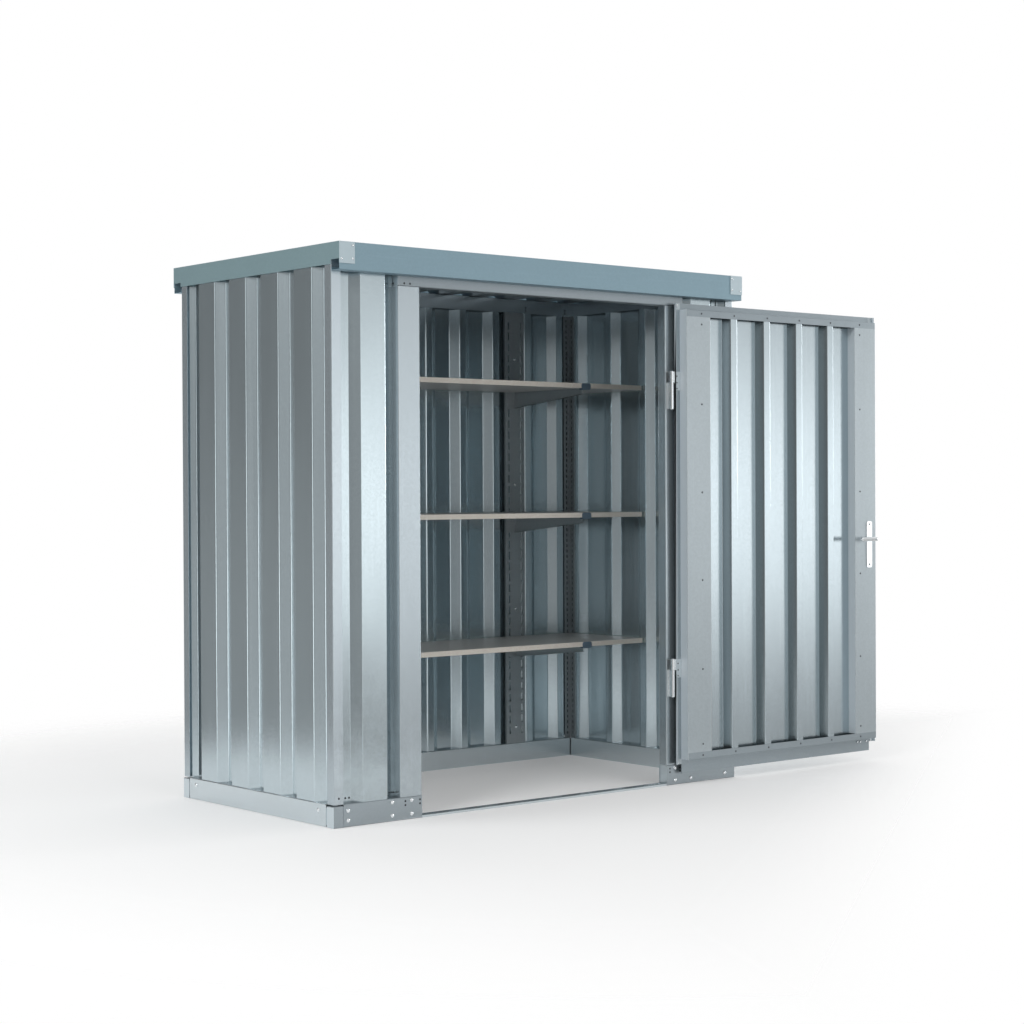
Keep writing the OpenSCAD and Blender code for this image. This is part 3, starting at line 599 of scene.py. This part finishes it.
def eased(node, radius):
    """A copy of a folded or tubular piece, its long outer corners rounded, that stands for it."""
    shape = bmesh.new()
    shape.from_mesh(frame["nodes"][node].data)
    bmesh.ops.remove_doubles(shape, verts=shape.verts, dist=1e-5)
    bmesh.ops.dissolve_limit(
        shape, angle_limit=math.radians(0.5), verts=shape.verts, edges=shape.edges)
    weight = shape.edges.layers.float.new("bevel_weight_edge")
    for edge in shape.edges:
        edge.smooth = False
        if len(edge.link_faces) != 2 or not edge.is_convex or edge.calc_length() < 0.03:
            continue
        turned = edge.calc_face_angle(0) > math.radians(40)
        if turned and all(breadth(face) > 2.2 * radius for face in edge.link_faces):
            edge[weight] = 1.0
    for face in shape.faces:
        face.smooth = True
    mesh = bpy.data.meshes.new(node + "_eased")
    shape.to_mesh(mesh)
    shape.free()
    piece = bpy.data.objects.new(node + "_eased", mesh)
    bpy.context.scene.collection.objects.link(piece)
    bevel = piece.modifiers.new("round", "BEVEL")
    bevel.limit_method = "WEIGHT"
    bevel.width = radius
    bevel.segments = 3
    bevel.use_clamp_overlap = False
    bevel.harden_normals = True
    made = bpy.data.meshes.new_from_object(
        piece.evaluated_get(bpy.context.evaluated_depsgraph_get()))
    piece.modifiers.remove(bevel)
    piece.data = made
    made.materials.clear()
    made.materials.append(FINISH_OF[node])
    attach(piece, BODY_OF[node])
    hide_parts(node)
    return piece


TUBES = [
    "base_rail_left", "base_rail_right", "base_rail_back", "base_rail_front_left",
    "base_rail_front_right", "corner_feet_front", "corner_feet_back", "door_post_left",
    "door_post_right", "lintel",
]
FOLDED = [
    "corner_post_front_left", "corner_post_front_right", "corner_post_back_left",
    "corner_post_back_right", "top_rail_left", "top_rail_right", "top_rail_front",
    "top_rail_back", "roof_trim_front", "roof_trim_back", "door_stile_hinge", "door_stile_lock",
    "door_rail_top", "door_rail_bottom", "shelf_upright_left", "shelf_upright_right",
]
TUBE_CORNER, FOLD_CORNER = 0.004, 0.0022
for node in TUBES:
    eased(node, TUBE_CORNER)
for node in FOLDED:
    eased(node, FOLD_CORNER)


# ---------- bolts, rivets, screws and holes ----------

HEADS = head_tree()
FRONT, BACK, LEFT, RIGHT, UP = -Y, Y, -X, X, Z
CORNER_X = high("base_rail_right").x
FRONT_Y = low("sill").y
BACK_Y = high("base_rail_back").y


def heads(name, body, points, facing, radius, height, finish, slot="zinc_hardware"):
    """A set of like heads, or flat near-black discs of painted shade that stand for holes, facing
    one way.
    """
    return from_tree(HEADS, name, body, {
        "Head radius": radius, "Head height": height, "Facing": tuple(facing), "Finish": finish,
    }, points)


def both_ends(offsets, y):
    """Places given from the left corner and their mirror places, at one depth."""
    return [(side * (CORNER_X - x), y, z) for side in (-1, 1) for x, z in offsets]


ZINC = FINISH["zinc_hardware"]
BOLT = dict(radius=0.0085, height=0.005, finish=ZINC)
RIVET = dict(radius=0.0045, height=0.0026, finish=ZINC)
SCREW = dict(radius=0.0042, height=0.0022, finish=DULL)
# Holes are thin near-black discs on the surface: painted shade of the hole.
HOLE = dict(radius=0.0042, height=0.0003, finish=DARK_WASHER_AND_HOLE_SHADE)


def base_bolts():
    """Cup-head bolts that tie the base rails to the corner feet, and the posts to the rails."""
    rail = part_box("base_rail_left")
    ends = [rail[0].y + 0.05, rail[1].y - 0.05]
    for side, facing in ((-1, LEFT), (1, RIGHT)):
        heads(f"base_bolts_side_{'left' if side < 0 else 'right'}", "container",
              [(side * CORNER_X, y, 0.058) for y in ends], facing, **BOLT)
    stub = [(0.064, 0.060), (0.064, 0.024), (0.266, 0.071), (0.266, 0.021),
            (0.357, 0.071), (0.357, 0.020)]
    heads("base_bolts_front", "container", both_ends(stub, FRONT_Y), FRONT, **BOLT)
    heads("base_bolts_back", "container", both_ends(stub[:2], BACK_Y), BACK, **BOLT)


def base_holes():
    """Spare holes in the front rails, the posts and the panels beside them, drawn as near-black
    discs of painted shade.
    """
    columns = (-0.722, -0.653, 0.722, 0.663)
    pairs = [(x, FRONT_Y, z) for x in columns for z in (0.070, 0.055)]
    heads("spare_holes_rail", "container", pairs, FRONT, **HOLE)
    post_y, panel_y = low("corner_post_front_left").y, low("wall_front_left").y
    heads("spare_holes_post", "container", both_ends([(0.025, 0.108)], post_y), FRONT, **HOLE)
    heads("spare_holes_panel", "container",
          both_ends([(0.076, 0.102), (0.093, 0.102), (0.287, 0.103), (0.297, 0.102)],
                    panel_y + WALL_RIB["Rib depth"]), FRONT, **HOLE)
    lintel = [(-0.715, FRONT_Y, 2.024), (-0.688, FRONT_Y, 2.024)]
    heads("spare_holes_lintel", "container", lintel, FRONT, **HOLE)
    heads("spare_hole_lintel_end", "container", [(low("lintel").x + 0.003, 0.010, 2.024)],
          LEFT, **HOLE)
    inner = [(0.062, 2.082), (0.062, 2.068), (0.30, 2.082), (0.30, 2.068)]
    heads("spare_holes_top_rail", "container",
          both_ends(inner, low("top_rail_back").y), FRONT, **HOLE)


def trim_rivets():
    """Three rivets in each return of the side trim."""
    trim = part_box("roof_trim_left")
    spots = [(0.061, trim[1].z - 0.013), (0.011, trim[0].z + 0.016), (0.061, trim[0].z + 0.018)]
    heads("trim_rivets_front", "container", both_ends(spots, trim[0].y), FRONT, **RIVET)
    heads("trim_rivets_back", "container", both_ends(spots, trim[1].y), BACK, **RIVET)


def roof_screws():
    """Washered screws in the roof's valleys, front and back."""
    level = low("roof_sheet").z + SHEET_T
    rows = [(side * (i + 0.5) * ROOF_PITCH, y, level) for y in (FRONT_Y + 0.03, BACK_Y - 0.03)
            for side in (-1, 1) for i in range(5)]
    heads("roof_washers", "container", rows, UP, radius=0.008, height=0.0015, finish=DARK_WASHER_AND_HOLE_SHADE)
    heads("roof_screws", "container", rows, UP, radius=0.0055, height=0.005, finish=ZINC)


def door_screws():
    """Screws through the leaf's stiles and pan rails."""
    face = low("door_stile_hinge").y
    bottom = low("door_rail_bottom")
    edges = [high("door_rail_top").z - 0.0415, 0.1215]
    ribs = [DOOR_RIB + i * DOOR_PITCH for i in range(DOOR_LAST_RIB + 1)]
    stiles = [0.797, 1.800]
    heights = [1.937, 1.601, 1.230, 0.860, 0.485, 0.169]
    places = [(x, face, z) for z in edges for x in ribs + stiles]
    places += [(x, face, z) for z in heights for x in stiles]
    heads("door_screws", "door", places, FRONT, **SCREW)
    outer = high("door_sheet").y
    heads("door_rivets_outside", "door",
          [(x, outer, z) for z in edges
           for x in [0.74] + [rib - DOOR_PITCH / 2 for rib in ribs] + [1.70, 1.88]],
          BACK, **RIVET)
    rim = FRONT_Y - 0.023
    ends = [(0.687, rim, 0.093), (0.691, rim, 2.016), (1.823, rim, 0.0915), (1.843, rim, 0.0905),
            (1.884, rim, 0.0900), (1.914, rim, 0.0925)]
    heads("rim_rivets", "door", ends, FRONT, radius=0.0052, height=0.003, finish=ZINC)


def hinge_screws():
    """Three screws in the leaf half of each hinge."""
    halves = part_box("hinge_halves_door")
    face = low("door_stile_hinge").y + 0.038
    spread = 1.205
    top = halves[1].z - 0.0215
    places = [(0.688, face, top - dz - down) for down in (0, spread) for dz in (0, 0.027, 0.052)]
    heads("hinge_screws", "door", places, FRONT, radius=0.0034, height=0.002, finish=DULL)


def lock_screws():
    """Screws at both ends of the lock plates."""
    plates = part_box("lock_plates")
    centre = (plates[0].x + plates[1].x) / 2
    ends = [plates[0].z + 0.014, plates[1].z - 0.014]
    for name, y, facing in [("inner", plates[0].y, FRONT), ("outer", plates[1].y, BACK)]:
        heads(f"lock_screws_{name}", "door", [(centre, y, z) for z in ends], facing,
              radius=0.0042, height=0.002, finish=DULL)


def shelf_bolts():
    """Bolts that hold the slotted uprights to the back wall."""
    face = low("shelf_upright_left").y
    centre = mid("shelf_upright_left").x
    places = [(side * centre, face, z) for side in (-1, 1) for z in (0.16, 0.70, 1.27, 1.84)]
    heads("upright_bolts", "container", places, FRONT, radius=0.007, height=0.004, finish=ZINC)


base_bolts()
base_holes()
trim_rivets()
roof_screws()
door_screws()
hinge_screws()
lock_screws()
shelf_bolts()


# ---------- studio ----------


VIEWER_WAY = (-0.643, -0.766, 0)
VIEWER_RIGHT = (0.766, -0.643, 0)
# Brightest level of the band low on the right of the studio.
BAND_PEAK = 1.76
# Brightness round the studio, by degrees to the right of the wall behind the camera.
PANELS = [
    (-150, 1.0), (-128, 0.20), (-97, 0.20), (-82, 1.6), (-66, 1.9), (-56, 0.22), (-38, 0.22),
    (-29, 0.45), (-24, 0.42), (-10, 0.32), (0, 0.32), (22, 0.42), (34, 1.1), (46, 1.2),
    (58, 1.0), (150, 1.0),
]


def lamp(name, place, target, size, power):
    """A square soft lamp aimed at a point."""
    light = bpy.data.lights.new(name, "AREA")
    light.shape = "SQUARE"
    light.size = size
    light.energy = power
    holder = bpy.data.objects.new(name, light)
    holder.location = place
    holder.rotation_euler = (Vector(target) - Vector(place)).to_track_quat("-Z", "Y").to_euler()
    bpy.context.scene.collection.objects.link(holder)


def seen_directly(tree):
    """1 where the eye sees a thing straight, in a mirror or through glass."""
    path = add(tree, "ShaderNodeLightPath").outputs
    either = calc(tree, "MAXIMUM", path["Is Camera Ray"], path["Is Glossy Ray"])
    return calc(tree, "MAXIMUM", either, path["Is Transmission Ray"])


def sky():
    """Soft surroundings: a ring of lighter and darker panels round a white studio."""
    world = bpy.data.worlds.new("soft_studio")
    bpy.context.scene.world = world
    world.use_nodes = True
    tree = world.node_tree
    tree.nodes.clear()
    way = add(tree, "ShaderNodeTexCoord").outputs["Generated"]
    rise = wire(tree, "ShaderNodeSeparateXYZ", {0: way}).outputs["Z"]
    near = wire(tree, "ShaderNodeVectorMath", {0: way, 1: VIEWER_WAY},
                operation="DOT_PRODUCT").outputs["Value"]
    right = wire(tree, "ShaderNodeVectorMath", {0: way, 1: VIEWER_RIGHT},
                 operation="DOT_PRODUCT").outputs["Value"]
    turn = calc(tree, "ARCTAN2", right, near)
    share = wire(tree, "ShaderNodeMapRange", {
        "Value": turn, "From Min": -math.pi, "From Max": math.pi}).outputs[0]
    ring = wire(tree, "ShaderNodeValToRGB", {0: share})
    ring.color_ramp.interpolation = "EASE"
    ring.color_ramp.elements[0].position = 0.0
    ring.color_ramp.elements[0].color = (0.5, 0.5, 0.5, 1)
    ring.color_ramp.elements[1].position = 1.0
    ring.color_ramp.elements[1].color = (0.5, 0.5, 0.5, 1)
    for degrees, level in PANELS:
        stop = ring.color_ramp.elements.new((degrees + 180) / 360)
        stop.color = (level / 2, level / 2, level / 2, 1)
    level = calc(tree, "MULTIPLY", ring.outputs[0], 2.0)
    over = wire(tree, "ShaderNodeMapRange", {
        "Value": rise, "From Min": 0.012, "From Max": 0.095, "To Min": BAND_PEAK,
        "To Max": 0.6,
    }, interpolation_type="SMOOTHSTEP").outputs[0]
    under = wire(tree, "ShaderNodeMapRange", {
        "Value": rise, "From Min": -0.10, "From Max": -0.028, "To Min": 0.35,
        "To Max": BAND_PEAK,
    }, interpolation_type="SMOOTHSTEP").outputs[0]
    bright = calc(tree, "MINIMUM", over, under)
    on_right = wire(tree, "ShaderNodeMapRange", {
        "Value": right, "From Min": 0.35, "From Max": 0.8}).outputs[0]
    band = wire(tree, "ShaderNodeMix", {"Factor": on_right, 2: 1.0, 3: bright}).outputs[0]
    sinking = wire(tree, "ShaderNodeMapRange", {
        "Value": rise, "From Min": -0.06, "From Max": 0.07, "To Min": 1.45, "To Max": 0.74,
    }, interpolation_type="SMOOTHSTEP").outputs[0]
    on_left = wire(tree, "ShaderNodeMapRange", {
        "Value": right, "From Min": -0.35, "From Max": -0.8}).outputs[0]
    band = wire(tree, "ShaderNodeMix", {"Factor": on_left, 2: band, 3: sinking}).outputs[0]
    soft = wire(tree, "ShaderNodeBackground", {
        "Color": (1.0, 1.0, 1.0, 1), "Strength": calc(tree, "MULTIPLY", level, band)})
    feed(tree, add(tree, "ShaderNodeOutputWorld").inputs[0], soft.outputs[0])


def floor():
    """Round pale floor that keeps the soft shadow and fades out into the surroundings."""
    mesh = bpy.data.meshes.new("studio_floor")
    reach, sides = 4.2, 96
    turns = [math.tau * i / sides for i in range(sides)]
    rim = [(reach * math.cos(a), reach * math.sin(a), 0) for a in turns]
    mesh.from_pydata(rim, [], [tuple(range(sides))])
    slab = bpy.data.objects.new("studio_floor", mesh)
    slab.location = (0.3, 0.1, -0.001)
    bpy.context.scene.collection.objects.link(slab)
    material, tree, shader, place = blank("floor_white")
    tree.nodes.remove(shader)
    plain = wire(tree, "ShaderNodeBsdfDiffuse", {"Color": (0.60, 0.60, 0.60, 1)})
    lit = wire(tree, "ShaderNodeBsdfDiffuse", {"Color": (0.88, 0.88, 0.88, 1)})
    glow = wire(tree, "ShaderNodeEmission", {"Color": (1, 1, 1, 1), "Strength": 0.18})
    shown = wire(tree, "ShaderNodeAddShader", {0: lit.outputs[0], 1: glow.outputs[0]})
    mix = wire(tree, "ShaderNodeMixShader", {
        0: seen_directly(tree), 1: plain.outputs[0], 2: shown.outputs[0]})
    out = wire(tree, "ShaderNodeVectorMath", {0: place}, operation="LENGTH").outputs["Value"]
    fade = wire(tree, "ShaderNodeMapRange", {
        "Value": out, "From Min": 2.4, "From Max": 4.1}, interpolation_type="SMOOTHSTEP")
    ahead = wire(tree, "ShaderNodeVectorMath", {0: place, 1: (0.577, -0.816, 0)},
                 operation="DOT_PRODUCT").outputs["Value"]
    fore = wire(tree, "ShaderNodeMapRange", {
        "Value": ahead, "From Min": 0.75, "From Max": 1.6}, interpolation_type="SMOOTHSTEP")
    clear = add(tree, "ShaderNodeBsdfTransparent")
    edge = wire(tree, "ShaderNodeMixShader", {
        0: calc(tree, "MAXIMUM", fade.outputs[0], fore.outputs[0]),
        1: mix.outputs[0], 2: clear.outputs[0],
    })
    feed(tree, tree.nodes["Material Output"].inputs[0], edge.outputs[0])
    mesh.materials.append(material)


def camera():
    """Eye-level camera off the front left corner, with a long lens."""
    place = Vector((-5.3995, -6.3074, 1.2366))
    yaw, pitch, roll = 0.69184, -0.0098, -0.00461
    level = math.cos(pitch)
    ahead = Vector((math.sin(yaw) * level, math.cos(yaw) * level, math.sin(pitch)))
    right = Vector((math.cos(yaw), -math.sin(yaw), 0))
    up = right.cross(ahead)
    side = math.cos(roll) * right + math.sin(roll) * up
    top = -math.sin(roll) * right + math.cos(roll) * up
    lens = bpy.data.cameras.new("front_left_view")
    lens.sensor_width = 36.0
    lens.lens = 72.94
    lens.clip_end = 200
    eye = bpy.data.objects.new("front_left_view", lens)
    eye.matrix_world = Matrix((
        (side.x, top.x, -ahead.x, place.x),
        (side.y, top.y, -ahead.y, place.y),
        (side.z, top.z, -ahead.z, place.z),
        (0, 0, 0, 1),
    ))
    bpy.context.scene.collection.objects.link(eye)
    bpy.context.scene.camera = eye


sky()
floor()
lamp("key_right", (9.5, -2.0, 2.2), (0.9, 0, 1.2), 2.0, 130)
lamp("fill_left", (-7.2, -2.9, 5.5), (0.3, 0, 1.1), 2.5, 200)
camera()

bpy.context.scene.view_settings.view_transform = "Standard"
